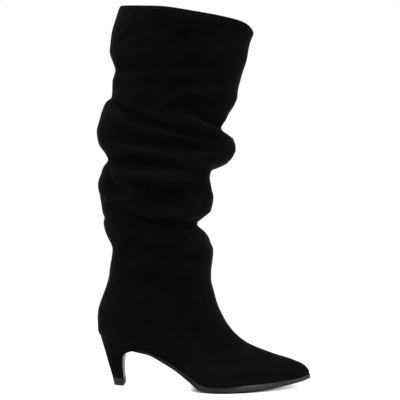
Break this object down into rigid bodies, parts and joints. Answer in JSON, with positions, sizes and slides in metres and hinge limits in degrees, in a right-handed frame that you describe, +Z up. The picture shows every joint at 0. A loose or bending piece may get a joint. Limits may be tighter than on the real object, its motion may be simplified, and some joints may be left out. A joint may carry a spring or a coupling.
{
  "type": "slouch boot",
  "caption": "Knee-high suede slouch boot for the right foot, with soft diagonal folds, a pointed toe and a slim medium heel; worn on the foot and lower leg.",
  "frame": {"origin": "bottom centre of the bounding box: on the floor, midway between the back of the counter and the tip of the toe", "axes": "+X to the toe, +Z up the shaft, -Y to the outer side of the right foot"},
  "size_m": [0.2625, 0.099, 0.4644],
  "materials": {
    "suede": "black napped suede, fully matte",
    "heel_suede": "black napped suede wrapped round the heel, fully matte",
    "sock": "dark plain textile sock, matte",
    "sole_rubber": "dark grey-black moulded rubber, satin edge",
    "lift_rubber": "dark grey rubber, matte"
  },
  "bodies": {
    "root": {"upper": "suede", "insole": "sock", "outsole": "sole_rubber", "heel": "heel_suede", "heel_lift": "lift_rubber"}
  },
  "joints": []
}
